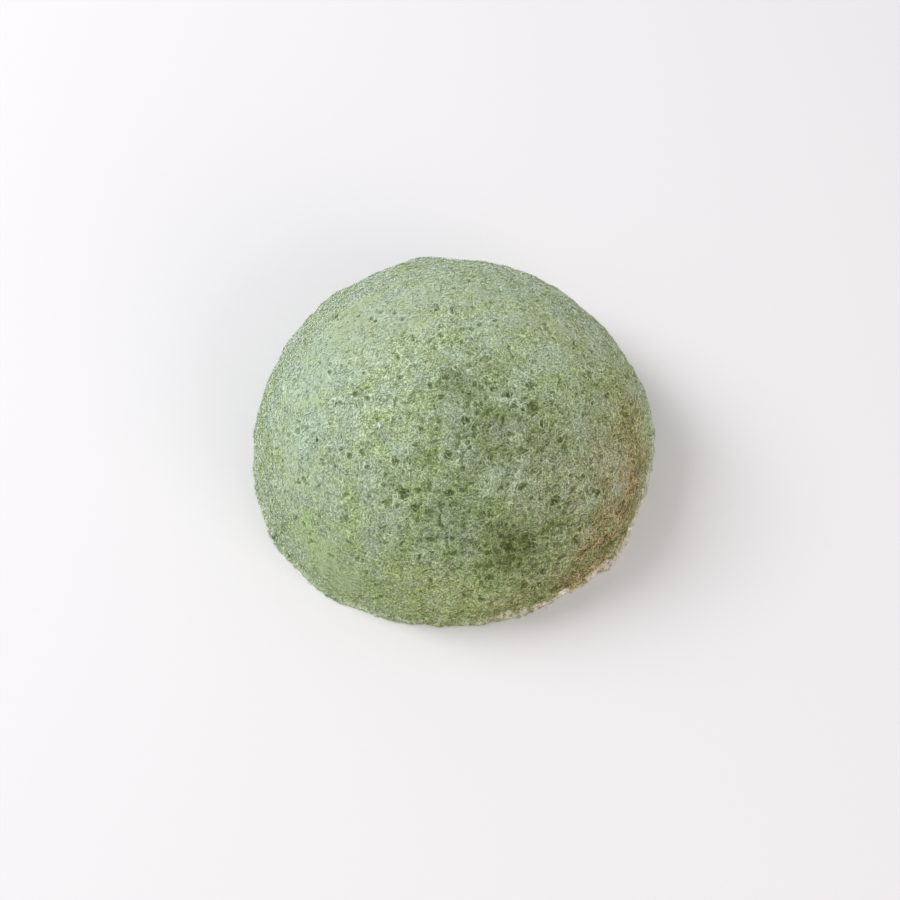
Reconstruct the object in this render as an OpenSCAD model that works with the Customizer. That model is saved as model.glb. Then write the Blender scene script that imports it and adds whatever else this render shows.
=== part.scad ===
// Konjac face sponge, half-ball pattern: one moulded block of wet plant-fibre foam.
// The flat face rests on z = 0, +Z runs to the crown and -Y is the side that faces the viewer.
// The block is a loft of level rings: a thin moulding lip at the edge of the flat face,
// then a full, round-shouldered dome that carries the soft dents left by squeezing.

/* [Flat face] */
// Width of the flat face, side to side
rim_w = 85.6; // [70:0.2:100]
// Depth of the flat face, front to back
rim_d = 84.8; // [70:0.2:100]

/* [Dome] */
// Height of the crown above the flat face
crown_h = 40; // [30:0.5:48]
// Fullness of the shoulder: 2 is a plain half ball, more is squarer
fullness = 2.08; // [1.9:0.01:2.5]
// How far the crown leans to the left of the flat face's middle
lean_left = 1.6; // [0:0.1:5]
// How far the crown leans towards the back
lean_back = 0.4; // [0:0.1:5]
// Depth of the deepest dent that squeezing has left
dent_depth = 1.5; // [0:0.1:3]
// Width of the broadest dent
dent_w = 13; // [8:0.5:20]
// How far the foam's soft lumps stand out and sink in
lump_h = 0.3; // [0:0.05:0.6]
// Distance from one soft lump to the next
lump_gap = 9; // [6:0.5:14]
// How far the edge of the flat face has swollen out or worn back at its most uneven place
rim_swell = 1; // [0:0.1:2]

/* [Moulding lip] */
// How far the thin lip stands out all round
lip_w = 0.6; // [0.2:0.1:2]
// Thickness of the lip at its edge
lip_t = 0.5; // [0.3:0.1:1.5]
// Height over which the lip runs out into the dome
lip_rise = 1.6; // [0.8:0.1:3]
// Depth of the waves along the lip's edge
lip_wave = 0.3; // [0:0.05:0.6]

/* [Hidden] */

// Facets round the flat face, and level rings from the lip to the crown
sectors = 96;
rings = 21;
// Crowding of the rings towards the foot of the dome: 1 spaces them evenly in climb
ring_crowding = 1.1;

// Slow waves in the plan outline: waves round the edge, where the first one peaks, share of the width
outline_wave_shares = [[2, 215, 0.0022], [3, 95, 0.0032], [5, 20, 0.0020]];
// Places where the edge has swollen out (+) or worn back (-): direction round the base,
// half width in degrees, share of rim_swell
rim_swell_shares = [
    [11, 13, 1.00],
    [-10, 7, -0.25],
    [-22, 8, -0.60],
    [-35, 6, 0.50],
    [-54, 10, -0.40],
    [-84, 8, 0.15],
    [-105, 6, 0.45],
    [-115, 6, -0.45],
    [-129, 9, 0.80],
    [-150, 7, 0.30],
    [175, 6, 0.30],
];
// Faster waves along the lip: waves round the edge, where the first one peaks, share of lip_wave
lip_wave_shares = [[9, 4, 0.55], [14, 11, 0.45]];

// Waves that add up to the soft lumps: how many, the turn from each to the next that spreads them
// evenly, and how many of them at full height make a lump of lump_h
lump_waves = 11;
golden_turn = 137.5;
waves_in_lump = 4.5;

// Dents (-) and swells (+) in the dome: direction round the base, climb from rim to crown in degrees,
// share of dent_w, share of dent_depth
dent_shares = [
    [-65, 30, 0.85, -1.00],
    [-45, 20, 0.62, -0.70],
    [-89, 37, 0.72, -0.42],
    [-55, 81, 0.80, -0.42],
    [-59, 63, 0.90, 0.36],
    [-7, 37, 0.80, -0.50],
    [-112, 48, 0.60, -0.38],
    [-150, 34, 1.00, 0.30],
    [-25, 52, 0.90, 0.28],
    [103, 34, 0.55, 0.40],
    [84, 34, 0.80, -0.45],
    [133, 33, 0.60, 0.35],
    [165, 58, 0.85, -0.25],
];

// Sum of the entries of a list
function total(values, i = 0) = i < len(values) ? values[i] + total(values, i + 1) : 0;

// Height of a set of waves in one direction round the base
function waves(table, direction) =
    total([for (w = table) w[2] * cos(w[0] * (direction - w[1]))]);

// Degrees between two directions round the base, the short way
function turn_between(a, b) = abs((a - b + 540) % 360 - 180);

// How far the edge stands out or back at its uneven places, in one direction round the base
function swollen(direction) =
    total([
        for (s = rim_swell_shares)
            let (away = turn_between(direction, s[0]) / s[1])
            s[2] * rim_swell * exp(-away * away),
    ]);

// Plan point on the dome's foot, in one direction round the base. The outline's waves are shares
// of the width, so they count twice on the half width
function foot(direction) =
    (1 + 2 * waves(outline_wave_shares, direction))
    * [
        cos(direction) * (rim_w / 2 + swollen(direction)),
        sin(direction) * (rim_d / 2 + swollen(direction)),
    ];

// Bare dome: climb is 0 at the foot and 90 at the crown
function reach(climb) = pow(cos(climb), 2 / fullness);
function rise(climb) = pow(sin(climb), 2 / fullness);
function bare(direction, climb) =
    let (f = foot(direction), up = rise(climb))
    [
        f[0] * reach(climb) - lean_left * up * up,
        f[1] * reach(climb) + lean_back * up * up,
        lip_rise + (crown_h - lip_rise) * up,
    ];

// How far the dents and swells move a point of the dome, out from the middle of the flat face
function pressed(p) =
    total([
        for (d = dent_shares)
            let (away = norm(p - bare(d[0], d[1])) / (d[2] * dent_w / 2))
            d[3] * dent_depth * exp(-away * away),
    ]);

// Way in which one of the lump waves runs, spread over the upper half ball
function wave_way(i) =
    let (up = (i + 0.5) / lump_waves, out = sqrt(1 - up * up))
    [out * cos(i * golden_turn), out * sin(i * golden_turn), up];

// Soft lumps at a point: waves in several ways, which together never repeat. They fade out towards
// the lip
function lumps(p) =
    let (fade = min(1, (p[2] - lip_rise) / lump_gap))
    fade * lump_h / waves_in_lump * total([
        for (i = [0:lump_waves - 1])
            cos(360 * (p * wave_way(i)) / lump_gap + i * i * golden_turn),
    ]);

function dome(direction, climb) =
    let (p = bare(direction, climb), s = pressed(p) + lumps(p))
    p + s * p / norm(p);

// Edge of the lip, at one height above the flat face
function lip(direction, z) =
    let (
        f = foot(direction),
        out = f / norm(f),
        edge = f + out * (lip_w + lip_wave * waves(lip_wave_shares, direction))
    )
    [edge[0], edge[1], z];

// Level rings from the flat face up to the last ring below the crown
function ring(level, direction) =
    level == 0 ? lip(direction, 0)
    : level == 1 ? lip(direction, lip_t)
    : dome(direction, 90 * pow((level - 2) / (rings - 1), ring_crowding));

module sponge_body() {
    directions = [for (i = [0:sectors - 1]) 360 * i / sectors];
    shell = [for (level = [0:rings]) for (a = directions) ring(level, a)];
    face_centre = len(shell);
    crown = face_centre + 1;
    points = concat(shell, [[0, 0, 0], dome(0, 90)]);
    sides = [
        for (level = [0:rings - 1])
            for (i = [0:sectors - 1])
                let (
                    j = (i + 1) % sectors,
                    low = level * sectors,
                    high = low + sectors
                )
                each [
                    [low + i, high + i, high + j],
                    [low + i, high + j, low + j],
                ],
    ];
    flat_face = [for (i = [0:sectors - 1]) [face_centre, i, (i + 1) % sectors]];
    top = [
        for (i = [0:sectors - 1])
            let (last = rings * sectors)
            [last + i, crown, last + (i + 1) % sectors],
    ];
    color("#9bb48c")
        polyhedron(points = points, faces = concat(sides, flat_face, top), convexity = 4);
}

sponge_body();
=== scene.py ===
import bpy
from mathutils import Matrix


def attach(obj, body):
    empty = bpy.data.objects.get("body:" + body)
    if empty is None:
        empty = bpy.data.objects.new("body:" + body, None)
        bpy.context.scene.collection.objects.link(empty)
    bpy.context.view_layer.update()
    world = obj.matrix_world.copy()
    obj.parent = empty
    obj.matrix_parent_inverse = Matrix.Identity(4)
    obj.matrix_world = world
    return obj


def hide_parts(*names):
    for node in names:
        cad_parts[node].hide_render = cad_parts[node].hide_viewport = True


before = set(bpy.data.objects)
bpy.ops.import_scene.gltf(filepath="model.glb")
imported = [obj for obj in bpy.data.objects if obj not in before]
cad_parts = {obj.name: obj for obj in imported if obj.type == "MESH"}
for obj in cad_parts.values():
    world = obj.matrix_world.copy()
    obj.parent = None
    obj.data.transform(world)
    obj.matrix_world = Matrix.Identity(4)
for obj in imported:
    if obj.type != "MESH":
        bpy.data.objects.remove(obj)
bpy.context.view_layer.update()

import math

import bpy
import numpy as np
from mathutils import Vector
from mathutils.bvhtree import BVHTree
from mathutils.kdtree import KDTree

# Lengths below are in millimetres, and MM turns them to Blender's metres
MM = 0.001
BODY_NODE = "sponge_body"
BODY = "root"
SEED = 7
UP = np.array([0.0, 0.0, 1.0])

# Each noise has a seed of its own. One that is layered or a vector takes the next few as well
KNOB_SEED, CROOKED_SEED, CELL_SEED, WEB_SEED = SEED + 1, SEED + 5, SEED + 10, SEED + 20
SCALLOP_SEED, SERRATION_SEED, BAND_SEED, CLUMP_SEED = SEED + 30, SEED + 31, SEED + 32, SEED + 36
BUSY_SEED, PORE_SEED, FELT_SEED, TUFT_SEED = SEED + 40, SEED + 50, SEED + 60, SEED + 64
FRESH_SEED, BROWN_SEED, GAP_SEED, GAP_CROOKED_SEED = SEED + 70, SEED + 74, SEED + 80, SEED + 84
LIE_SEED = SEED + 90

# Scattering of the noise lattice: large odd numbers that part neighbouring cells, how far the bits
# are folded back on themselves, and how many of them make a share
CELL_SCATTER = (73856093, 19349663, 83492791)
SEED_SCATTER = 2654435761
STIR = 0x9E3779B97F4A7C15
FIRST_FOLD, LAST_FOLD = 17, 29
SHARE_BITS = 24

# Farther than any cell's centre lies, counted in cells, and a length that is as good as none
BEYOND_CELLS = 9.0
TINY = 1e-9

# Camera: degrees above the flat face, and far enough off for little perspective
CAMERA_ELEVATION = 58.0
CAMERA_DISTANCE = 550.0
CAMERA_AIM = (-0.44, -6.0, 11.25)
CLIP_NEAR, CLIP_FAR = 10.0, 20000.0
PICTURE_SIZE = 900
PIXELS_PER_MM = 4.68
SENSOR_WIDTH = 36.0

# Stage: width of the floor, the pale colours of paper and sky, and the sky's strength
FLOOR_SIZE = 6000.0
PAPER, SKY, SKY_STRENGTH = "#E4E3E6", "#F7F7F8", 0.60

# Soft lamps: name, place, width, power in watts and colour
LAMPS = (
    ("key", (-600, 200, 640), 480, 5.8, "#FFFFFF"),
    ("fill", (560, -620, 420), 600, 3.2, "#FFF3E4"),
)

# Foam block: the gap that merging closes, rounds of smoothing, the angle in degrees of an edge that
# stays sharp, and the grain that the block is cut into
MERGE_GAP = 0.001
SUBDIVISIONS = 2
SHARP_EDGE = 60.0
GRAIN = 0.28

# Relief of the foam, finer than the solid's own lumps: size of the feature, then how far it stands
# out or runs in
KNOB_SIZE, KNOB_HEIGHT = 2.8, 0.34
CELL_SIZE, CELL_DEPTH = 1.25, 0.12
WEB_SIZE, WEB_DEPTH = 0.75, 0.08
CROOKED_SIZE, CROOKED = 1.4, 0.3
WALL_WIDTH = 0.3

# How dense felt evens the foam: the felt at which it starts and is full, then the share of knobs
# and of pits that it takes away
DENSE_FROM, DENSE_FULL = 0.15, 0.62
DENSE_EVENS_KNOBS, DENSE_EVENS_PITS = 0.85, 0.9

# Gaps in the felt, where the gel below shows: how high the noise must rise for one, how much
# higher where the felt is dense, and how much less where the foam is brown
GAP_SIZE, GAP_DEPTH = 1.15, 0.32
GAP_LIMIT, GAP_LIMIT_DENSE, GAP_LIMIT_BROWN, GAP_EDGE = 0.50, 0.50, -0.25, 0.32
GAP_CROOKED_SIZE, GAP_CROOKED = 0.9, 0.4

# Moulding lip: its height, the scallops along it, the stretch where it is frayed most, and the
# share of the foam's own relief that it loses
LIP_TOP, LIP_FOOT = 2.2, 0.9
SCALLOP_SIZE, SCALLOP = 1.35, 0.66
SERRATION_SIZE, SERRATION = 0.7, 0.36
FRAYED_TURN, FRAYED_SPREAD = -0.72, 0.62
FRAYED_LEAST, SCALLOP_LEAST = 0.06, 0.55
LIP_EVENS = 0.5

# Pale band on the frayed lip: its top above the flat face, its soft edge, how ragged it is, the
# clumps it breaks into, and how few of its fibres stay bare of it
BAND_TOP, BAND_EDGE = 1.8, 0.7
BAND_RAGGED_SIZE, BAND_RAGGED = 1.1, 1.1
BAND_CLUMP_SIZE, BAND_CLUMP_FROM, BAND_CLUMP_FULL = 0.8, -0.85, -0.35
BAND_FEW_BARE = 0.5

# Flat face: how far down a normal must look to be on it, the relief kept there, how far it stays
# back from the bench, and its rounded foot
FLAT_FACE_FROM, FLAT_FACE_FULL = -0.55, -0.9
BASE_RELIEF, BASE_BACK, BASE_SKIN = 0.5, 0.02, 0.35

# Flat map for the bake: the discs of dome and flat face as shares of its width, the margin round
# them, and how far down a face looks when it belongs to the flat face
BAKE_DOME, BAKE_BASE, BAKE_MARGIN = 0.335, 0.235, 0.01
BAKE_FACING_DOWN = -0.75

# Open pores scattered over the foam: how few are wide, their depth as a share of their width, and
# the share of it that the shallowest have
PORE_COUNT = 1100
PORE_WIDTHS, PORE_FEW_WIDE = (0.4, 1.2), 3
PORE_DEPTH_SHARE, PORE_SHALLOWEST = 0.55, 0.5

# Where pores are: busy and quiet stretches of foam, the least share of pores in a quiet one, and
# the share on the flat face
PORE_BUSY_SIZE, PORE_BUSY_LEAST, PORES_ON_BASE = 11.0, 0.35, 0.45

# Shape of a pore: how far round it the foam is looked at in widths, how steep its wall is, the
# place and spread of its raised rim in half widths and the rim's height, and how ragged it all is
PORE_REACH, PORE_STEEPNESS = 1.1, 3
PORE_RIM_AT, PORE_RIM_SPREAD, PORE_RIM_HEIGHT = 1.35, 0.3, 0.08
PORE_RAGGED_SIZE, PORE_RAGGED = 0.6, 0.5

# How hollow and how open the foam is: a gap's share, then the depth at which a pore is fully so
GAP_HOLLOW, HOLLOW_PORE, OPEN_PORE = 0.6, 0.4, 0.5

# How pale the block's own walls show: the fine web where the felt isn't dense, and a pore's rim
WEB_SHOWS, RIM_SHOWS = 0.7, 0.4

# The largest pores in view: pixel across and down in the photograph's frame, then width in mm
SEEN_PORES = (
    (349, 456, 1.3), (361, 452, 1.1), (395, 460, 1.4), (448, 455, 1.7), (404, 494, 1.8),
    (416, 507, 1.3), (295, 518, 1.1), (367, 467, 1.0), (335, 467, 1.0), (297, 431, 1.3),
    (355, 394, 1.3), (368, 399, 1.0), (534, 404, 1.6), (509, 394, 1.4), (544, 424, 1.4),
    (492, 389, 1.1), (555, 500, 1.6), (584, 476, 1.1), (488, 553, 1.2), (509, 548, 1.9),
    (520, 487, 1.4), (450, 494, 1.5), (598, 493, 1.4), (542, 572, 1.4), (481, 600, 1.1),
    (420, 430, 1.2), (466, 420, 1.4), (560, 440, 1.2), (575, 540, 1.7), (430, 385, 1.1),
)

# Soft patches in view, which paint the light and shade seen there along with the foam's own tint:
# pixel across and down, radius in mm, felt thinner (-), darker as painted shade, or denser (+), paler
# as a painted sheen, bluish (-), partly a painted sheen, or fresh green (+), and brown, these two
# partly painted warm reflected light
SEEN_LIGHT_AND_TINT_PATCHES = (
    (300, 400, 15.0, 0.32, -0.34, 0.0), (335, 335, 12.0, 0.28, -0.2, 0.04),
    (400, 300, 15.0, 0.32, -0.34, 0.1), (290, 490, 9.5, 0.40, -0.05, -0.04),
    (322, 560, 10.0, 0.44, 0.35, 0.0), (365, 548, 8.0, 0.10, 0.0, 0.0),
    (490, 300, 11.0, 0.27, -0.2, 0.06), (560, 330, 9.0, 0.30, 0.0, 0.15),
    (365, 470, 10.0, 0.12, 0.0, 0.0), (470, 380, 7.0, -0.38, -0.15, 0.05),
    (470, 435, 8.0, -0.56, 0.0, 0.04), (545, 440, 9.0, -0.27, -0.05, 0.12),
    (520, 540, 6.5, -1.05, 0.6, 0.15), (565, 500, 9.0, -0.10, -0.05, 0.16),
    (450, 520, 9.0, -0.58, 0.15, 0.0), (620, 405, 8.0, -0.08, 0.3, 0.28),
    (600, 455, 7.0, 0.1, -0.35, 0.32), (642, 440, 9.0, -0.12, 0.4, 0.35),
    (630, 488, 10.0, -0.14, 0.2, 0.75), (600, 545, 9.0, -0.36, 0.3, 0.65),
    (657, 490, 8.0, -0.15, 0.35, 0.4), (640, 535, 8.0, -0.15, 0.25, 0.5),
    (545, 595, 10.0, -0.42, 0.65, 0.32), (470, 605, 10.0, -0.12, 0.65, 0.2),
    (400, 590, 10.0, 0.0, 0.5, 0.14), (345, 592, 9.0, 0.12, 0.4, 0.05),
    (268, 465, 5.0, -0.25, 0.4, 0.0), (520, 525, 3.0, 0.5, -0.3, 0.0),
)
FELT_DRIFT_SIZE, FELT_DRIFT = 7.0, 0.12
FRESH_DRIFT_SIZE, FRESH_DRIFT = 3.4, 0.14
BROWN_DRIFT_SIZE, BROWN_DRIFT = 2.8, 0.6

# Tufts in the felt: how much they add to it, how much more where it is brown and less where it is
# dense, and how much bluer they are than the gel between them, which in part paints a sheen on them
FELT_TUFT_SIZE, FELT_TUFT, TUFT_BROWN, TUFT_LESS_DENSE = 3.4, 0.26, 0.5, 0.14
TUFT_SHEEN_BLUER = 0.36

# Brown of the foam above the frayed lip, partly the foam's own tint and partly painted warm light
# reflected there: its top above the flat face, and how much it adds
RIM_BROWN_TOP, RIM_BROWN = 9.0, 0.4

# Fibres felted over the foam: how many, how few are long, their widths, how much dense felt makes
# them finer, and the least share of a pale fibre's width
FIBRE_PIECES = 7
FIBRES_EACH = 10500
FIBRE_LENGTHS, FIBRE_FEW_LONG = (0.6, 2.6), 1.6
FIBRE_WIDTHS, FIBRE_FINER, FIBRE_LEAST_THICK = (0.08, 0.22), 0.2, 0.5

# Shape of one fibre: points along it, sides, how blunt its ends are, and a slanting way that hardly
# any fibre runs along, from which its sides are found
FIBRE_POINTS = 5
FIBRE_SIDES = 3
FIBRE_BLUNTNESS = 0.6
FIBRE_SLANT = np.array([0.31, 0.54, 0.78])

# How a fibre lies: its height over the foam, how much more the palest rise and how much less in
# dense felt, how deep its ends run in, the share of a gap's depth that it sinks, how it bends in
# its plane, and over what distance neighbours lie alike
FIBRE_TRACK = 0.04
FIBRE_RISE, FIBRE_RISE_LESS_DENSE = 0.17, 0.6
FIBRE_BURIED, SEAT_IN_GAP = 0.3, 0.5
FIBRE_CURL, FIBRE_WOBBLE = 0.42, 0.28
LIE_SIZE, LIE_STRAY = 2.4, 0.7

# Where fibres are: shares over a gap and on the flat face, and how many more are in a tuft
FIBRES_OVER_GAP, FIBRES_ON_BASE, FIBRES_IN_TUFT = 0.35, 0.55, 0.35

# How fibres keep to the edges of the foam's cells: how many more start on one, how strongly they
# turn along it, how far each step pulls them onto it, and how much dense felt frees them
FIBRES_ON_EDGE = 1.6
FIBRE_FOLLOW, FIBRE_PULL, FOLLOW_LESS_DENSE = 1.1, 0.07, 0.85
FEELER = 0.08

# Painted glints: small lumps near where cell edges meet, white enough to show as points of light on
# the wet foam: how few are large and how few green, how high they sit, how close they keep to an
# edge, and their weight before dense felt takes from it
GLINT_COUNT = 1400
GLINT_SIZES, GLINT_FEW_LARGE, GLINT_FEW_GREEN = (0.16, 0.3), 2, 0.5
GLINT_RISE = 0.2
GLINT_NEAR_EDGE = 4.0
GLINT_WEIGHT = 1.2

# How pale a fibre is, from gel green to pale cell edge: how few are pale, the even shade of dense
# felt, how much dense felt is evened to it, and how much paler all are with denser felt, a painted
# sheen in part, and darker with thinner felt, painted shade in part. From one shade up a strand isn't
# evened: it lies proud of dense felt, and paler still. A gap makes fibres less pale
FIBRE_FEW_PALE = 1.8
FIBRE_EVEN_SHADE, FIBRE_EVENED, FIBRE_SHEEN_PALER = 0.38, 0.85, 0.1
STRAND_FROM, STRAND_PALER = 0.66, 0.3
GAP_TAKES_PALE = 0.35

# Frayed fringe on the moulding lip: how few ends are wide, the share of their length where the lip
# is hardly frayed, and how high above the bench they and all fibres stay
FRINGE_FIBRES = 4200
FRINGE_LENGTHS, FRINGE_SHORT = (0.2, 0.5), 0.55
FRINGE_WIDTHS, FRINGE_FEW_WIDE = (0.2, 0.4), 2
FLOOR_CLEARANCE = 0.16

# Where the frayed ends start: how near the lip's edge, how far down they may look, and how strongly
# they gather where it is frayed
FRINGE_NEAR_EDGE, FRINGE_FACING, FRINGE_GATHERED = 0.9, -0.3, 2

# How a frayed end runs: out of the lip at least and its spread, along it, and up and its spread;
# then its bend, how deep it starts in the lip, and how it turns back in
FRINGE_OUT, FRINGE_OUT_SPREAD = 0.1, 0.6
FRINGE_ALONG_SPREAD = 0.8
FRINGE_UP, FRINGE_UP_SPREAD = 0.3, 0.4
FRINGE_BEND, FRINGE_BURIED, FRINGE_TURN_IN = 0.3, 0.2, 0.12

# Least shares of paleness and of the lip's band on a frayed end
FRINGE_LEAST_PALE, FRINGE_LEAST_BAND = 0.4, 0.6


# Random lattices, used by every relief and colour field
def hashed(cells, seed):
    """A repeatable random share, 0 to 1, for each whole-number cell."""
    parts = cells.astype(np.int64).astype(np.uint64)
    mixed = np.uint64(seed * SEED_SCATTER)
    for axis, number in enumerate(CELL_SCATTER):
        mixed = mixed ^ (parts[..., axis] * np.uint64(number))
    mixed ^= mixed >> np.uint64(FIRST_FOLD)
    mixed *= np.uint64(STIR)
    mixed ^= mixed >> np.uint64(LAST_FOLD)
    kept = mixed & np.uint64(2 ** SHARE_BITS - 1)
    return kept.astype(float) / 2 ** SHARE_BITS


def soft_noise(points, size, seed):
    """Smooth noise from -1 to 1 whose features are about size across."""
    scaled = points / size
    low = np.floor(scaled)
    part = scaled - low
    part = part * part * (3 - 2 * part)
    total = np.zeros(len(points))
    for corner in np.ndindex(2, 2, 2):
        share = np.prod(np.where(corner, part, 1 - part), axis=1)
        total += share * hashed(low + corner, seed)
    return 2 * total - 1


def layered_noise(points, size, seed, layers=3):
    """Smooth noise with finer, weaker layers on top."""
    total = np.zeros(len(points))
    for layer in range(layers):
        total += soft_noise(points, size / 2 ** layer, seed + layer) / 2 ** layer
    return total


def noise_vectors(points, size, seed):
    """A smooth random vector at each point."""
    return np.stack([soft_noise(points, size, seed + axis) for axis in range(3)], axis=1)


def wall_share(points, size, seed):
    """How near each point is to a wall between foam cells of one size, from 0 to 1 on the wall."""
    scaled = points / size
    home = np.floor(scaled)
    nearest = np.full(len(points), BEYOND_CELLS)
    second = np.full(len(points), BEYOND_CELLS)
    for step in np.ndindex(3, 3, 3):
        cell = home + step - 1
        centre = cell + np.stack([hashed(cell, seed + axis) for axis in range(3)], axis=1)
        away = np.linalg.norm(scaled - centre, axis=1)
        second = np.minimum(second, np.maximum(nearest, away))
        nearest = np.minimum(nearest, away)
    return np.exp(-((second - nearest) / WALL_WIDTH) ** 2)


def cell_edge_share(points):
    """How near each point is to an edge of the foam's crooked cells, from 0 to 1 on the edge."""
    crooked = points + CROOKED * noise_vectors(points, CROOKED_SIZE, CROOKED_SEED)
    return wall_share(crooked, CELL_SIZE, CELL_SEED)


def smooth_step(low, high, values):
    """0 up to low and 1 from high, with a smooth climb between. low may be the greater of the two."""
    part = np.clip((values - low) / (high - low), 0, 1)
    return part * part * (3 - 2 * part)


def unit(vectors):
    return vectors / np.maximum(np.linalg.norm(vectors, axis=-1, keepdims=True), TINY)


def dotted(first, second):
    return np.sum(first * second, axis=1, keepdims=True)


# Camera and stage
def camera_axes():
    """Unit vectors from the aim to the camera, and up and right in the picture."""
    lift = math.radians(CAMERA_ELEVATION)
    back = Vector((0, -math.cos(lift), math.sin(lift)))
    up = Vector((0, math.sin(lift), math.cos(lift)))
    return back, up, Vector((1, 0, 0))


def make_camera():
    back, _, _ = camera_axes()
    bpy.ops.object.camera_add()
    camera = bpy.context.object
    camera.name = "camera"
    camera.location = (Vector(CAMERA_AIM) + back * CAMERA_DISTANCE) * MM
    camera.rotation_mode = "QUATERNION"
    camera.rotation_quaternion = (-back).to_track_quat("-Z", "Y")
    camera.data.sensor_width = SENSOR_WIDTH
    seen_width = PICTURE_SIZE / PIXELS_PER_MM
    camera.data.lens = SENSOR_WIDTH * CAMERA_DISTANCE / seen_width
    camera.data.clip_start = CLIP_NEAR * MM
    camera.data.clip_end = CLIP_FAR * MM
    bpy.context.scene.camera = camera


def linear(hex_colour):
    """An sRGB hex value as linear red, green, blue and full alpha, by the sRGB standard's curve."""
    shares = [int(hex_colour[i:i + 2], 16) / 255 for i in (1, 3, 5)]
    return [s / 12.92 if s <= 0.04045 else ((s + 0.055) / 1.055) ** 2.4 for s in shares] + [1.0]


def add_node(tree, kind, settings=None, inputs=None):
    """One node with its settings. An input takes a value, or a socket to link from."""
    node = tree.nodes.new(kind)
    for name, value in (settings or {}).items():
        setattr(node, name, value)
    for name, value in (inputs or {}).items():
        if isinstance(value, bpy.types.NodeSocket):
            tree.links.new(value, node.inputs[name])
        else:
            node.inputs[name].default_value = value
    return node


def new_material(name):
    material = bpy.data.materials.new(name)
    material.use_nodes = True
    material.node_tree.nodes.clear()
    return material, material.node_tree


# Matt paper sweep: pale and even, so it takes the soft shadow and gives nothing back
def paper_material():
    material, tree = new_material("matt_paper_sweep")
    paper = add_node(tree, "ShaderNodeBsdfDiffuse", inputs={"Color": linear(PAPER)})
    add_node(tree, "ShaderNodeOutputMaterial", inputs={"Surface": paper.outputs[0]})
    return material


def make_floor():
    bpy.ops.mesh.primitive_plane_add(size=FLOOR_SIZE * MM)
    floor = bpy.context.object
    floor.name = "floor"
    floor.data.materials.append(paper_material())


def make_world():
    world = bpy.data.worlds.new("soft_studio")
    world.use_nodes = True
    bpy.context.scene.world = world
    tree = world.node_tree
    tree.nodes.clear()
    sky = add_node(tree, "ShaderNodeBackground", inputs={
        "Color": linear(SKY), "Strength": SKY_STRENGTH,
    })
    add_node(tree, "ShaderNodeOutputWorld", inputs={"Surface": sky.outputs[0]})


def make_lamp(name, place, size, power, hex_colour):
    """A square soft lamp at a place in mm, turned to the middle of the object."""
    bpy.ops.object.light_add(type="AREA", location=Vector(place) * MM)
    lamp = bpy.context.object
    lamp.name = name
    lamp.data.size = size * MM
    lamp.data.energy = power
    lamp.data.color = linear(hex_colour)[:3]
    lamp.rotation_mode = "QUATERNION"
    lamp.rotation_quaternion = (-Vector(place)).to_track_quat("-Z", "Y")


def make_lights():
    for lamp in LAMPS:
        make_lamp(*lamp)


# Foam block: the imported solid, smoothed, then cut into an even fine grain
def smooth_block():
    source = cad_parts[BODY_NODE]
    bpy.ops.object.select_all(action="DESELECT")
    source.select_set(True)
    bpy.context.view_layer.objects.active = source
    bpy.ops.object.duplicate()
    block = bpy.context.object
    block.name = "konjac_foam_block"
    bpy.ops.object.mode_set(mode="EDIT")
    bpy.ops.mesh.select_all(action="SELECT")
    bpy.ops.mesh.remove_doubles(threshold=MERGE_GAP * MM)
    bpy.ops.mesh.normals_make_consistent(inside=False)
    bpy.ops.mesh.select_all(action="DESELECT")
    bpy.ops.mesh.select_mode(type="EDGE")
    bpy.ops.mesh.edges_select_sharp(sharpness=math.radians(SHARP_EDGE))
    bpy.ops.transform.edge_crease(value=1.0)
    bpy.ops.object.mode_set(mode="OBJECT")
    smoother = block.modifiers.new("smooth", "SUBSURF")
    smoother.levels = smoother.render_levels = SUBDIVISIONS
    bpy.ops.object.modifier_apply(modifier=smoother.name)
    grain = block.modifiers.new("grain", "REMESH")
    grain.mode = "VOXEL"
    grain.voxel_size = GRAIN * MM
    bpy.ops.object.modifier_apply(modifier=grain.name)
    bpy.ops.object.shade_smooth()
    return block


def mesh_points(mesh):
    flat = np.empty(len(mesh.vertices) * 3, dtype=np.float32)
    mesh.vertices.foreach_get("co", flat)
    return flat.reshape(-1, 3).astype(float) / MM


def mesh_normals(mesh):
    flat = np.empty(len(mesh.vertices) * 3, dtype=np.float32)
    mesh.vertex_normals.foreach_get("vector", flat)
    return flat.reshape(-1, 3).astype(float)


def set_points(mesh, points):
    mesh.vertices.foreach_set("co", (points * MM).astype(np.float32).ravel())
    mesh.update()


def point_tree(points):
    tree = KDTree(len(points))
    for i, p in enumerate(points):
        tree.insert(p, i)
    tree.balance()
    return tree


def placed(surface, rows):
    """The rows with their pixel of the photograph's frame turned to the point in mm on the block
    that shows there."""
    back, up, right = camera_axes()
    middle = PICTURE_SIZE / 2
    start = Vector(CAMERA_AIM) + back * CAMERA_DISTANCE
    found = []
    for across, down, *values in rows:
        on_plane = (
            Vector(CAMERA_AIM)
            + right * ((across - middle) / PIXELS_PER_MM)
            + up * ((middle - down) / PIXELS_PER_MM)
        )
        hit, _, _, _ = surface.ray_cast(start * MM, (on_plane - start).normalized())
        if hit is not None:
            found.append((np.array(hit) / MM, *values))
    return found


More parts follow.
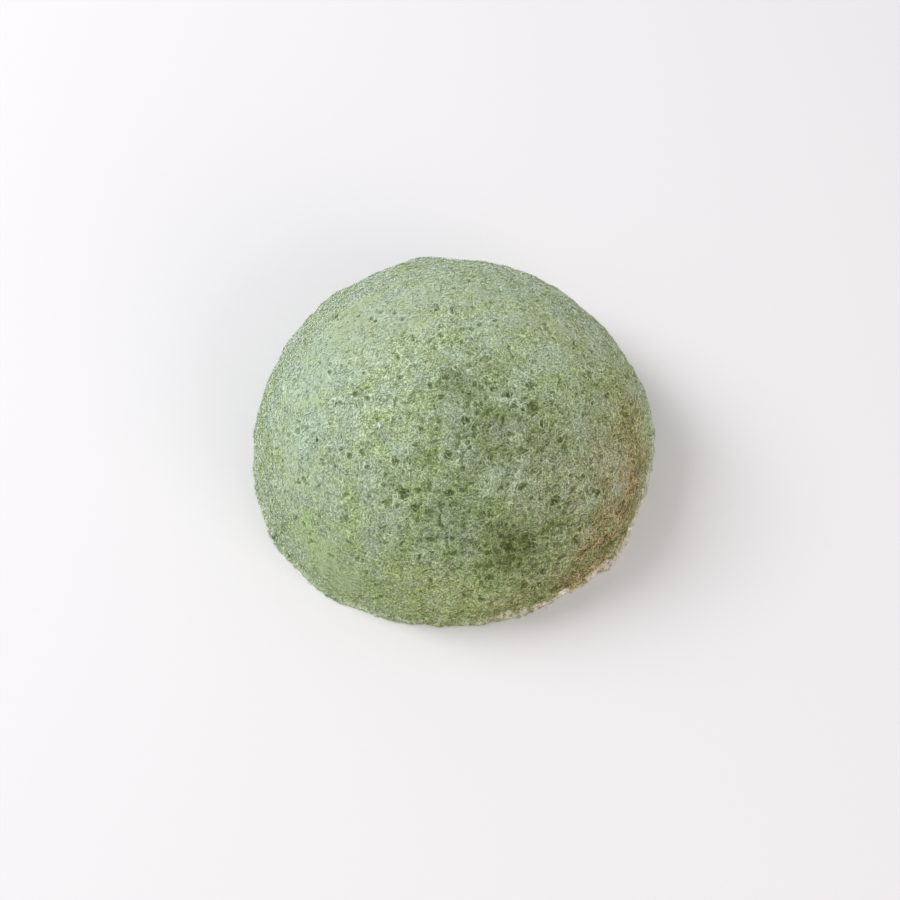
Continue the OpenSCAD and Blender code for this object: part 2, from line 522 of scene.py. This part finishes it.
def felt_fields(points, light_and_tint_patches, rim_brown):
    """Felt with its painted shade and sheen (thin and darker -1 to dense and paler +1), fresh green
    (bluish -1 to fresh +1), brown (0 to 1), how far the felt is dense enough to even the foam, and
    its tufts, at points in mm."""
    felt_and_shading = FELT_DRIFT * layered_noise(points, FELT_DRIFT_SIZE, FELT_SEED)
    fresh = FRESH_DRIFT * layered_noise(points, FRESH_DRIFT_SIZE, FRESH_SEED, 2)
    brown = rim_brown.copy()
    for centre, radius, denser, fresher, browner in light_and_tint_patches:
        near = np.exp(-(np.linalg.norm(points - centre, axis=1) / radius) ** 2)
        felt_and_shading += denser * near
        fresh += fresher * near
        brown += browner * near
    brown *= 1 + BROWN_DRIFT * layered_noise(points, BROWN_DRIFT_SIZE, BROWN_SEED, 2)
    brown = np.clip(brown, 0, 1)
    dense = smooth_step(DENSE_FROM, DENSE_FULL, felt_and_shading)
    tufts = layered_noise(points, FELT_TUFT_SIZE, TUFT_SEED, 2)
    felt_and_shading += (FELT_TUFT + TUFT_BROWN * brown - TUFT_LESS_DENSE * dense) * tufts
    fresh -= TUFT_SHEEN_BLUER * tufts
    return felt_and_shading, fresh, brown, dense, tufts


def gap_share(points, felt_and_shading, brown):
    """Where the felt leaves a gap, from 0 to 1 in the middle of one. Thin felt has more gaps."""
    crooked = points + GAP_CROOKED * noise_vectors(points, GAP_CROOKED_SIZE, GAP_CROOKED_SEED)
    rise = layered_noise(crooked, GAP_SIZE, GAP_SEED, 2)
    limit = GAP_LIMIT + GAP_LIMIT_DENSE * felt_and_shading + GAP_LIMIT_BROWN * brown
    return smooth_step(0.0, GAP_EDGE, rise - limit)


def scattered_pores(points, dome, seen, rng):
    """Pores as centre, width and depth: the ones in view first, then a random scatter."""
    pores = [(centre, width, PORE_DEPTH_SHARE * width) for centre, width in seen]
    busy = 0.5 + 0.5 * soft_noise(points, PORE_BUSY_SIZE, BUSY_SEED)
    weight = (PORE_BUSY_LEAST + busy) * (PORES_ON_BASE + (1 - PORES_ON_BASE) * dome)
    picks = rng.choice(len(points), PORE_COUNT, replace=False, p=weight / weight.sum())
    narrow, wide = PORE_WIDTHS
    for pick in picks:
        width = narrow + (wide - narrow) * rng.random() ** PORE_FEW_WIDE
        fullness = PORE_SHALLOWEST + (1 - PORE_SHALLOWEST) * rng.random()
        pores.append((points[pick], width, PORE_DEPTH_SHARE * width * fullness))
    return pores


def press_pores(points, pores):
    """How deep each point lies in a pore, in mm, and its share of a pore's rim."""
    tree = point_tree(points)
    ragged = 1 + PORE_RAGGED * soft_noise(points, PORE_RAGGED_SIZE, PORE_SEED)
    depth = np.zeros(len(points))
    rim = np.zeros(len(points))
    for centre, width, hollow_shade in pores:
        near = [i for _, i, _ in tree.find_range(Vector(centre), PORE_REACH * width)]
        if not near:
            continue
        away = ragged[near] * np.linalg.norm(points[near] - centre, axis=1) / (width / 2)
        depth[near] = np.maximum(depth[near], hollow_shade * np.exp(-away ** PORE_STEEPNESS))
        from_rim = (away - PORE_RIM_AT) / PORE_RIM_SPREAD
        rim[near] = np.maximum(rim[near], np.exp(-from_rim ** 2))
    return depth, rim


def store(mesh, name, values):
    layer = mesh.attributes.get(name) or mesh.attributes.new(name, "FLOAT", "POINT")
    layer.data.foreach_set("value", values.astype(np.float32))


def raise_relief(block, surface, rng):
    """Moves the block's points out and in to the foam's relief, stores what the finish reads, and
    returns the skin that the fibres lie on."""
    mesh = block.data
    points = mesh_points(mesh)
    normals = mesh_normals(mesh)
    base = smooth_step(FLAT_FACE_FROM, FLAT_FACE_FULL, normals[:, 2])
    dome = 1 - base
    lip = smooth_step(LIP_TOP, LIP_FOOT, points[:, 2]) * dome
    turn = np.arctan2(points[:, 1], points[:, 0])
    frayed = np.exp(-((turn - FRAYED_TURN) / FRAYED_SPREAD) ** 2)
    fray = FRAYED_LEAST + (1 - FRAYED_LEAST) * frayed
    scallop = SCALLOP * (SCALLOP_LEAST + (1 - SCALLOP_LEAST) * frayed)

    rim_brown = RIM_BROWN * frayed * smooth_step(RIM_BROWN_TOP, 0.0, points[:, 2]) * dome
    light_and_tint_patches = placed(surface, SEEN_LIGHT_AND_TINT_PATCHES)
    felt_and_shading, fresh, brown, dense, tufts = felt_fields(points, light_and_tint_patches, rim_brown)
    gap = gap_share(points, felt_and_shading, brown) * (1 - lip)
    wall = cell_edge_share(points)
    web = wall_share(points, WEB_SIZE, WEB_SEED)
    pores = scattered_pores(points, dome, placed(surface, SEEN_PORES), rng)
    depth, rim = press_pores(points, pores)

    knobs = KNOB_HEIGHT * soft_noise(points, KNOB_SIZE, KNOB_SEED) * (1 - DENSE_EVENS_KNOBS * dense)
    pits = (CELL_DEPTH * (1 - wall) + WEB_DEPTH * (1 - web)) * (1 - DENSE_EVENS_PITS * dense)
    in_plan = points * (1 - UP)
    edge_wave = scallop * soft_noise(in_plan, SCALLOP_SIZE, SCALLOP_SEED)
    edge_wave += SERRATION * soft_noise(points, SERRATION_SIZE, SERRATION_SEED)
    height = knobs - pits - GAP_DEPTH * gap - depth + PORE_RIM_HEIGHT * rim
    height = height * (1 - LIP_EVENS * lip) + edge_wave * lip
    flat_height = np.minimum(0.0, BASE_RELIEF * height) - BASE_BACK
    height = height * dome + flat_height * base
    above_foot = smooth_step(0.0, BASE_SKIN, points[:, 2])
    height = np.where(normals[:, 2] < 0, height * np.maximum(above_foot, base), height)

    moved = points + normals * height[:, None]
    moved[:, 2] = np.maximum(moved[:, 2], 0.0)
    set_points(mesh, moved)

    ragged_top = BAND_TOP + BAND_RAGGED * layered_noise(points, BAND_RAGGED_SIZE, BAND_SEED, 2)
    clumps = soft_noise(points, BAND_CLUMP_SIZE, CLUMP_SEED)
    band = smooth_step(0.0, BAND_EDGE, ragged_top - points[:, 2]) * dome * fray
    band *= smooth_step(BAND_CLUMP_FROM, BAND_CLUMP_FULL, clumps)
    seat_height = (knobs - SEAT_IN_GAP * GAP_DEPTH * gap + edge_wave * lip) * dome
    store(mesh, "felt_and_shading", felt_and_shading)
    store(mesh, "fresh", fresh)
    store(mesh, "brown", brown)
    store(mesh, "dense", dense)
    store(mesh, "hollow", np.clip(GAP_HOLLOW * gap + depth / HOLLOW_PORE, 0, 1))
    store(mesh, "wall", np.clip(WEB_SHOWS * web * (1 - dense) + RIM_SHOWS * rim, 0, 1))
    store(mesh, "band", band)
    return {
        "points": points,
        "normals": normals,
        "seats": points + normals * seat_height[:, None],
        "dome": dome,
        "wall": wall,
        "lip": lip,
        "fray": fray,
        "band": band,
        "felt_and_shading": felt_and_shading,
        "dense": dense,
        "tufts": np.clip(tufts, -1, 1),
        "fresh": fresh,
        "brown": brown,
        "open": np.clip(gap + depth / OPEN_PORE, 0, 1),
    }


def lay_bake_map(mesh, points, normals):
    """A flat map for the block: the dome as one disc, the flat face as another beside it."""
    radius = np.linalg.norm(points[:, :2], axis=1)
    turn = np.arctan2(points[:, 1], points[:, 0])
    widest = radius.max()
    crown = points[:, 2].max()
    climb = np.arctan2(points[:, 2] / crown, radius / widest)
    dome_reach = np.sqrt(1 - np.sin(np.clip(climb, 0, math.pi / 2)))
    base_reach = radius / widest
    spin = np.stack([np.cos(turn), np.sin(turn)], axis=1)
    dome_place = BAKE_MARGIN + BAKE_DOME + BAKE_DOME * dome_reach[:, None] * spin
    base_place = 1 - BAKE_MARGIN - BAKE_BASE + BAKE_BASE * base_reach[:, None] * spin

    corner_points = np.empty(len(mesh.loops), dtype=np.int32)
    mesh.loops.foreach_get("vertex_index", corner_points)
    starts = np.empty(len(mesh.polygons), dtype=np.int32)
    counts = np.empty(len(mesh.polygons), dtype=np.int32)
    mesh.polygons.foreach_get("loop_start", starts)
    mesh.polygons.foreach_get("loop_total", counts)
    facing_up = np.add.reduceat(normals[corner_points, 2], starts) / counts
    is_base = np.repeat(facing_up < BAKE_FACING_DOWN, counts)[:, None]
    places = np.where(is_base, base_place[corner_points], dome_place[corner_points])
    layer = mesh.uv_layers.new(name="OFBake")
    layer.data.foreach_set("uv", places.astype(np.float32).ravel())


def tube_faces(rings):
    """Triangles of one closed tube: a point, rings of FIBRE_SIDES points, and a point."""
    last = 1 + (rings - 1) * FIBRE_SIDES
    tip = last + FIBRE_SIDES
    faces = []
    for s in range(FIBRE_SIDES):
        t = (s + 1) % FIBRE_SIDES
        faces.append((0, 1 + t, 1 + s))
        faces.append((last + s, last + t, tip))
        for ring in range(rings - 1):
            low = 1 + ring * FIBRE_SIDES
            high = low + FIBRE_SIDES
            faces.append((low + s, low + t, high + t))
            faces.append((low + s, high + t, high + s))
    return np.array(faces)


def repeated_mesh(name, points, faces, fields, rounded):
    """One mesh of many like closed shapes. points is (shapes, points of one, 3) in mm, faces are
    the triangles of one, and each field has a value for each shape."""
    count, per_shape, _ = points.shape
    corners = (faces[None] + per_shape * np.arange(count)[:, None, None]).ravel()
    mesh = bpy.data.meshes.new(name)
    mesh.vertices.add(count * per_shape)
    mesh.vertices.foreach_set("co", (points * MM).astype(np.float32).ravel())
    mesh.loops.add(len(corners))
    mesh.loops.foreach_set("vertex_index", corners.astype(np.int32))
    mesh.polygons.add(len(corners) // 3)
    mesh.polygons.foreach_set("loop_start", np.arange(0, len(corners), 3, dtype=np.int32))
    mesh.update(calc_edges=True)
    mesh.validate()
    mesh.polygons.foreach_set("use_smooth", np.full(len(mesh.polygons), rounded))
    for field, values in fields.items():
        store(mesh, field, np.repeat(values, per_shape))
    piece = bpy.data.objects.new(name, mesh)
    bpy.context.scene.collection.objects.link(piece)
    return piece


def fibre_tubes(name, paths, widths, fields):
    """One mesh of closed, tapered tubes. paths is (fibres, points, 3) in mm."""
    count, stops, _ = paths.shape
    along = unit(np.gradient(paths, axis=1))
    side = unit(np.cross(along, FIBRE_SLANT))
    lift = np.cross(along, side)
    taper = np.sin(np.linspace(0, math.pi, stops)) ** FIBRE_BLUNTNESS
    half = 0.5 * widths[:, None, None] * taper[None, :, None]
    ringed = [
        (paths + half * (math.cos(turn) * side + math.sin(turn) * lift))[:, 1:-1]
        for turn in 2 * math.pi * np.arange(FIBRE_SIDES) / FIBRE_SIDES
    ]
    ringed = np.stack(ringed, axis=2).reshape(count, -1, 3)
    points = np.concatenate([paths[:, :1], ringed, paths[:, -1:]], axis=1)
    return repeated_mesh(name, points, tube_faces(stops - 2), fields, True)


def keep_above_floor(paths):
    paths[..., 2] = np.maximum(paths[..., 2], FLOOR_CLEARANCE)
    return paths


def edge_ways(place, normal, way):
    """The way along the nearest cell edge, turned to agree with the fibre's own way, and the way
    onto that edge."""
    side = np.cross(normal, way)
    here = cell_edge_share(place)
    ahead = (cell_edge_share(place + FEELER * way) - here)[:, None]
    aside = (cell_edge_share(place + FEELER * side) - here)[:, None]
    onto = unit(way * ahead + side * aside)
    along = np.cross(normal, onto)
    return along * np.sign(dotted(along, way)), onto * (1 - here)[:, None]


def felt_paths(skin, picks, shade, rng):
    """Curling paths that lie on the foam, their ends run in and their middles proud, the palest
    most. They keep to the edges of the foam's cells, and neighbours lie roughly alike."""
    seats, normals = skin["seats"], skin["normals"]
    tree = point_tree(seats)
    count = len(picks)
    short, long = FIBRE_LENGTHS
    step = (short + (long - short) * rng.random(count) ** FIBRE_FEW_LONG) / (FIBRE_POINTS - 1)
    place, normal = seats[picks], normals[picks]
    way = noise_vectors(place, LIE_SIZE, LIE_SEED) + LIE_STRAY * rng.normal(size=(count, 3))
    way = unit(way - normal * dotted(way, normal))
    curl = rng.normal(0, FIBRE_CURL, count)
    wobble = rng.normal(0, FIBRE_WOBBLE, (count, FIBRE_POINTS))
    dense = skin["dense"][picks]
    sunk = FIBRE_RISE_LESS_DENSE * dense * (shade < STRAND_FROM)
    rise = FIBRE_TRACK + FIBRE_RISE * shade * (1 - sunk)
    follow = rng.random((count, 1)) * (1 - FOLLOW_LESS_DENSE * dense)[:, None]
    paths = np.empty((count, FIBRE_POINTS, 3))
    for stop in range(FIBRE_POINTS):
        arch = math.sin(math.pi * stop / (FIBRE_POINTS - 1))
        above = rise * arch - FIBRE_BURIED * (1 - arch)
        nearest = np.array([tree.find(p)[1] for p in place])
        normal = normals[nearest]
        place = place - normal * dotted(place - seats[nearest], normal)
        paths[:, stop] = place + normal * above[:, None]
        angle = (curl + wobble[:, stop])[:, None]
        way = way * np.cos(angle) + np.cross(normal, way) * np.sin(angle)
        way = unit(way - normal * dotted(way, normal))
        along, onto = edge_ways(place, normal, way)
        way = unit(way + FIBRE_FOLLOW * follow * along)
        place = place + way * step[:, None] + FIBRE_PULL * follow * onto
    return keep_above_floor(paths)


def foam_fields(skin, picks, pale, band):
    """What the finish reads on each shape: the foam's own fields where it sits, how pale it is from
    green to its edge colour, and how far it is white as the frayed lip's band, which on the painted
    glints is their painted glint white."""
    fields = {name: skin[name][picks] for name in ("felt_and_shading", "fresh", "brown")}
    return {**fields, "pale": pale, "band": band}


def felt_fibres(skin, rng):
    """The felt of pale cell edges over the whole foam, in a few pieces."""
    weight = np.where(skin["dome"] > 0.5, 1.0, FIBRES_ON_BASE)
    on_edge = skin["wall"] * (1 - FOLLOW_LESS_DENSE * skin["dense"])
    weight = weight * (1 - (1 - FIBRES_OVER_GAP) * skin["open"]) * (1 + FIBRES_ON_EDGE * on_edge)
    weight = weight * (1 + FIBRES_IN_TUFT * skin["tufts"])
    total = FIBRE_PIECES * FIBRES_EACH
    picks = rng.choice(len(weight), total, replace=False, p=weight / weight.sum())
    shade = rng.random(total) ** FIBRE_FEW_PALE
    paths = felt_paths(skin, picks, shade, rng)
    felt_and_shading = skin["felt_and_shading"][picks]
    dense = skin["dense"][picks]
    narrow, wide = FIBRE_WIDTHS
    thick = shade * (FIBRE_LEAST_THICK + (1 - FIBRE_LEAST_THICK) * rng.random(total))
    widths = (narrow + (wide - narrow) * thick) * (1 - FIBRE_FINER * dense)
    evened = FIBRE_EVENED * dense * (shade < STRAND_FROM)
    pale = shade * (1 - evened) + FIBRE_EVEN_SHADE * evened + FIBRE_SHEEN_PALER * felt_and_shading
    pale += STRAND_PALER * dense * (shade >= STRAND_FROM)
    pale = np.clip(pale - GAP_TAKES_PALE * skin["open"][picks], 0, 1)
    band = skin["band"][picks] * rng.random(total) ** BAND_FEW_BARE
    fields = foam_fields(skin, picks, pale, band)
    made = []
    for part in range(FIBRE_PIECES):
        mine = slice(part * FIBRES_EACH, (part + 1) * FIBRES_EACH)
        own_fields = {name: values[mine] for name, values in fields.items()}
        made.append(fibre_tubes(f"felt_fibres_{part + 1}", paths[mine], widths[mine], own_fields))
    return made


def fringe_paths(seats, fray, rng):
    """Short bent paths that stand out of the lip, longer where it is frayed more."""
    count = len(seats)
    short, long = FRINGE_LENGTHS
    length = (short + (long - short) * rng.random(count)) * (FRINGE_SHORT + (1 - FRINGE_SHORT) * fray)
    step = length / (FIBRE_POINTS - 1)
    out = unit(seats * (1 - UP))
    along_edge = np.cross(UP, out)
    way = unit(
        out * (FRINGE_OUT + FRINGE_OUT_SPREAD * rng.random((count, 1)))
        + along_edge * rng.normal(0, FRINGE_ALONG_SPREAD, (count, 1))
        + UP * rng.normal(FRINGE_UP, FRINGE_UP_SPREAD, (count, 1))
    )
    bend = rng.normal(0, FRINGE_BEND, (count, 1))
    place = seats - out * FRINGE_BURIED
    paths = np.empty((count, FIBRE_POINTS, 3))
    for stop in range(FIBRE_POINTS):
        paths[:, stop] = place
        way = unit(way + bend * np.cross(way, UP) - out * FRINGE_TURN_IN)
        place = place + way * step[:, None]
    return keep_above_floor(paths)


def fringe_fibres(skin, rng):
    """Short frayed ends that stand out of the moulding lip."""
    near_edge = skin["lip"] > FRINGE_NEAR_EDGE
    starts = np.flatnonzero(near_edge & (skin["normals"][:, 2] > FRINGE_FACING))
    weight = skin["fray"][starts] ** FRINGE_GATHERED
    picks = rng.choice(starts, FRINGE_FIBRES, p=weight / weight.sum())
    narrow, wide = FRINGE_WIDTHS
    widths = narrow + (wide - narrow) * rng.random(FRINGE_FIBRES) ** FRINGE_FEW_WIDE
    pale = FRINGE_LEAST_PALE + (1 - FRINGE_LEAST_PALE) * rng.random(FRINGE_FIBRES)
    band_share = FRINGE_LEAST_BAND + (1 - FRINGE_LEAST_BAND) * rng.random(FRINGE_FIBRES)
    fields = foam_fields(skin, picks, pale, skin["band"][picks] * band_share)
    paths = fringe_paths(skin["seats"][picks], skin["fray"][picks], rng)
    return [fibre_tubes("lip_fringe", paths, widths, fields)]


def painted_glints(skin, rng):
    """Painted glints: small eight-sided white lumps of gel near where cell edges meet, each turned
    its own way, standing for points of light.
    """
    on_dome = skin["dome"] > 0.5
    weight = skin["wall"] ** GLINT_NEAR_EDGE * on_dome * (GLINT_WEIGHT - skin["dense"])
    picks = rng.choice(len(weight), GLINT_COUNT, replace=False, p=weight / weight.sum())
    small, large = GLINT_SIZES
    half = 0.5 * (small + (large - small) * rng.random(GLINT_COUNT) ** GLINT_FEW_LARGE)
    first = unit(rng.normal(size=(GLINT_COUNT, 3)))
    second = unit(np.cross(first, rng.normal(size=(GLINT_COUNT, 3))))
    third = np.cross(first, second)
    ends = np.stack([first, second, -first, -second, third, -third], axis=1)
    centres = skin["seats"][picks] + GLINT_RISE * skin["normals"][picks]
    points = keep_above_floor(centres)[:, None] + half[:, None, None] * ends
    faces = [(s, (s + 1) % 4, 4) for s in range(4)] + [((s + 1) % 4, s, 5) for s in range(4)]
    glint_white = rng.random(GLINT_COUNT) ** GLINT_FEW_GREEN
    fields = foam_fields(skin, picks, np.ones(GLINT_COUNT), glint_white)
    return [repeated_mesh("painted_glints", points, np.array(faces), fields, False)]


# Wet konjac foam: glucomannan gel with plant-powder dye, frozen and thawed into open cells. The gel
# is a clear strong green, and the damp cell edges over it are nearly white with a thin gloss: pale
# strands, whitened further as a painted highlight of their wet film.
# Each row runs from bluish, partly a painted sheen, through middle to fresh green, and ends with
# brown; fresh green and brown are partly the foam's own uneven tint and partly painted warm reflected
# light.
# FRAYED is the band on the frayed lip, and the white of the painted glints
GEL_COLOURS = ("#859F6E", "#809650", "#779530", "#725804")
EDGE_AND_HIGHLIGHT_COLOURS = ("#DCEDE2", "#DDECD5", "#D5E9BA", "#E9D9A8")
# The hollow colours are darker: painted shade in pores and gaps, and in part the deeper gel that
# shows there
HOLLOW_SHADE_COLOURS = ("#5A8228", "#506C1C", "#4A640E", "#483600")
FRAYED = "#FCF4EC"

# Painted shade darkens thin felt, and a pale painted sheen veils dense felt, each partly felt that is
# really thinner or denser: the colour, how much of it, and the felt at which it is full. Fresh and
# bluish green are full at one amount either way
SHADED, SHADED_SHARE, FELT_THINNEST = "#3E4A14", 0.5, -0.9
SHEEN_VEIL, SHEEN_VEIL_SHARE, FELT_DENSEST = "#C6D5C0", 0.35, 0.8
FRESH_FULL = 0.6

# Wet gel: its index, the share of gloss from the gel and from the film of water over it, that
# film's roughness, and how far light runs in it: shares of a length in red, green and blue
WET_IOR, WET_SPECULAR, WET_COAT, WET_COAT_ROUGH = 1.36, 0.5, 0.3, 0.16
LIGHT_SHARES, LIGHT_LENGTH = (0.8, 1.0, 0.5), 1.1

# How the block and the fibres differ: how much light they let in, how much they shine, and their
# roughness where a noise is low and where it is high
BLOCK_LIGHT_IN, BLOCK_SHINE, BLOCK_ROUGH = 0.3, 0.4, (0.3, 0.6)
FIBRE_LIGHT_IN, FIBRE_SHINE, FIBRE_ROUGH = 0.15, 1.0, (0.22, 0.5)
NOISE_LOW, NOISE_HIGH, NOISE_DETAIL = 0.35, 0.65, 2

# Finest fibres of the felt, drawn on the block round crooked cells. Real ones are too fine to show
# in the render, so these are about 0.15 mm wide. Size of the cells, size and depth of their bends,
# the distance from a line at which it is full and at which it is gone, as shares of a cell, how
# pale it is, and the one even shade that dense felt has instead
DRAWN_CELL, DRAWN_BEND_SIZE, DRAWN_BEND = 0.62, 0.9, 0.55
DRAWN_FULL, DRAWN_GONE = 0.02, 0.13
DRAWN_PALE, DRAWN_EVENED = 0.7, 0.25

# How much of the walls shows on the block, and how much of the painted shade of hollows from one
# depth to another
WALLS_SHOW = 0.35
HOLLOW_FROM, HOLLOW_FULL, HOLLOWS_SHOW = 0.1, 0.8, 0.65

# Grain of the gel skin, how far the drawn fibres stand proud of it, and the bump that both make
GEL_GRAIN, DRAWN_PROUD = 0.35, 0.6
SKIN_BUMP, SKIN_BUMP_DEPTH = 0.45, 0.1

# Water holds to some fibres and not to others, in patches of this size
DAMP_SIZE = 0.8


def foam_colours(tree, *rows):
    """A colour for each row, by how fresh and how brown the foam is, then darker with painted shade
    where the felt is thin and paler with a painted sheen where it is dense."""
    fresh, brown, felt_and_shading = (
        add_node(tree, "ShaderNodeAttribute", {"attribute_name": name}).outputs["Fac"]
        for name in ("fresh", "brown", "felt_and_shading")
    )
    steps = (
        (fresh, -FRESH_FULL, 0.0, 1.0), (fresh, 0.0, FRESH_FULL, 1.0), (brown, 0.0, 1.0, 1.0),
        (felt_and_shading, 0.0, FELT_THINNEST, SHADED_SHARE), (felt_and_shading, 0.0, FELT_DENSEST, SHEEN_VEIL_SHARE),
    )
    amounts = [
        add_node(tree, "ShaderNodeMapRange", inputs={
            "Value": field, "From Min": start, "From Max": end, "To Max": share,
        })
        for field, start, end, share in steps
    ]
    finished = []
    for first, *others in rows:
        colour = linear(first)
        for amount, towards in zip(amounts, (*others, SHADED, SHEEN_VEIL)):
            colour = add_node(tree, "ShaderNodeMix", {"data_type": "RGBA"}, {
                0: amount.outputs[0], 6: colour, 7: linear(towards),
            }).outputs[2]
        finished.append(colour)
    return finished


def foam_shader(tree, colour, roughness, light_in, shine, bump=None):
    """The wet gel's surface, which block and fibres share."""
    inputs = {
        "Base Color": colour,
        "Roughness": roughness,
        "IOR": WET_IOR,
        "Specular IOR Level": WET_SPECULAR * shine,
        "Subsurface Weight": light_in,
        "Subsurface Radius": LIGHT_SHARES,
        "Subsurface Scale": LIGHT_LENGTH * MM,
        "Coat Weight": WET_COAT * shine,
        "Coat Roughness": WET_COAT_ROUGH,
    }
    if bump is not None:
        inputs["Normal"] = bump
    shader = add_node(tree, "ShaderNodeBsdfPrincipled", inputs=inputs)
    add_node(tree, "ShaderNodeOutputMaterial", inputs={"Surface": shader.outputs[0]})


def block_material():
    material, tree = new_material("wet_konjac_foam_moulded")
    place = add_node(tree, "ShaderNodeTexCoord").outputs["Object"]
    hollow, wall, band, dense = (
        add_node(tree, "ShaderNodeAttribute", {"attribute_name": name}).outputs["Fac"]
        for name in ("hollow", "wall", "band", "dense")
    )

    # Drawn fibres, which dense felt runs together to one even shade
    crooked = add_node(tree, "ShaderNodeTexNoise", inputs={
        "Vector": place, "Scale": 1 / (DRAWN_BEND_SIZE * MM), "Detail": NOISE_DETAIL,
    })
    bent = add_node(tree, "ShaderNodeVectorMath", {"operation": "MULTIPLY_ADD"}, {
        0: crooked.outputs["Color"], 1: (DRAWN_BEND * MM,) * 3, 2: place,
    })
    fine = add_node(tree, "ShaderNodeTexVoronoi", {"feature": "DISTANCE_TO_EDGE"}, {
        "Vector": bent.outputs[0], "Scale": 1 / (DRAWN_CELL * MM),
    })
    line = add_node(tree, "ShaderNodeMapRange", inputs={
        "Value": fine.outputs["Distance"], "From Min": DRAWN_FULL, "From Max": DRAWN_GONE,
        "To Min": DRAWN_PALE, "To Max": 0.0,
    })
    evened = add_node(tree, "ShaderNodeMix", {"data_type": "FLOAT"}, {
        0: dense, 2: line.outputs[0], 3: DRAWN_EVENED,
    })
    pale_share = add_node(tree, "ShaderNodeMath", {"operation": "MULTIPLY_ADD"}, {
        0: wall, 1: WALLS_SHOW, 2: evened.outputs[0],
    })

    # Gel, pale lines and walls over it, the painted shade of hollows, and the band on the frayed lip
    gel, edge_and_highlight, hollow_shade = foam_colours(tree, GEL_COLOURS, EDGE_AND_HIGHLIGHT_COLOURS, HOLLOW_SHADE_COLOURS)
    colour = add_node(tree, "ShaderNodeMix", {"data_type": "RGBA"}, {
        0: pale_share.outputs[0], 6: gel, 7: edge_and_highlight,
    })
    hollow_share = add_node(tree, "ShaderNodeMapRange", inputs={
        "Value": hollow, "From Min": HOLLOW_FROM, "From Max": HOLLOW_FULL, "To Max": HOLLOWS_SHOW,
    })
    colour = add_node(tree, "ShaderNodeMix", {"data_type": "RGBA"}, {
        0: hollow_share.outputs[0], 6: colour.outputs[2], 7: hollow_shade,
    })
    colour = add_node(tree, "ShaderNodeMix", {"data_type": "RGBA"}, {
        0: band, 6: colour.outputs[2], 7: linear(FRAYED),
    })

    # Grain of the gel skin, with the drawn fibres just proud of it
    grain = add_node(tree, "ShaderNodeTexNoise", inputs={
        "Vector": place, "Scale": 1 / (GEL_GRAIN * MM), "Detail": NOISE_DETAIL,
    })
    raised = add_node(tree, "ShaderNodeMath", {"operation": "MULTIPLY_ADD"}, {
        0: line.outputs[0], 1: DRAWN_PROUD, 2: grain.outputs["Fac"],
    })
    bump = add_node(tree, "ShaderNodeBump", inputs={
        "Strength": SKIN_BUMP, "Distance": SKIN_BUMP_DEPTH * MM, "Height": raised.outputs[0],
    })
    smoothest, roughest = BLOCK_ROUGH
    rough = add_node(tree, "ShaderNodeMapRange", inputs={
        "Value": grain.outputs["Fac"], "From Min": NOISE_LOW, "From Max": NOISE_HIGH,
        "To Min": smoothest, "To Max": roughest,
    })
    foam_shader(
        tree, colour.outputs[2], rough.outputs[0], BLOCK_LIGHT_IN, BLOCK_SHINE, bump.outputs[0],
    )
    return material


def fibre_material():
    material, tree = new_material("konjac_cell_edges_wet")
    place = add_node(tree, "ShaderNodeTexCoord").outputs["Object"]
    pale, band = (
        add_node(tree, "ShaderNodeAttribute", {"attribute_name": name}).outputs["Fac"]
        for name in ("pale", "band")
    )
    gel, edge_and_highlight = foam_colours(tree, GEL_COLOURS, EDGE_AND_HIGHLIGHT_COLOURS)
    colour = add_node(tree, "ShaderNodeMix", {"data_type": "RGBA"}, {0: pale, 6: gel, 7: edge_and_highlight})
    # On the painted glints this band mix turns them white as painted glints
    colour = add_node(tree, "ShaderNodeMix", {"data_type": "RGBA"}, {
        0: band, 6: colour.outputs[2], 7: linear(FRAYED),
    })

    damp = add_node(tree, "ShaderNodeTexNoise", inputs={
        "Vector": place, "Scale": 1 / (DAMP_SIZE * MM), "Detail": NOISE_DETAIL,
    })
    smoothest, roughest = FIBRE_ROUGH
    rough = add_node(tree, "ShaderNodeMapRange", inputs={
        "Value": damp.outputs["Fac"], "From Min": NOISE_LOW, "From Max": NOISE_HIGH,
        "To Min": smoothest, "To Max": roughest,
    })
    foam_shader(tree, colour.outputs[2], rough.outputs[0], FIBRE_LIGHT_IN, FIBRE_SHINE)
    return material


# Build
bpy.context.scene.view_settings.view_transform = "Standard"
make_camera()
make_floor()
make_world()
make_lights()

rng = np.random.default_rng(SEED)
block = smooth_block()
surface = BVHTree.FromObject(block, bpy.context.evaluated_depsgraph_get())
skin = raise_relief(block, surface, rng)
lay_bake_map(block.data, skin["points"], skin["normals"])
block.data.materials.clear()
block.data.materials.append(block_material())
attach(block, BODY)
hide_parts(BODY_NODE)

fibre_finish = fibre_material()
for piece in felt_fibres(skin, rng) + painted_glints(skin, rng) + fringe_fibres(skin, rng):
    piece.data.materials.append(fibre_finish)
    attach(piece, BODY)
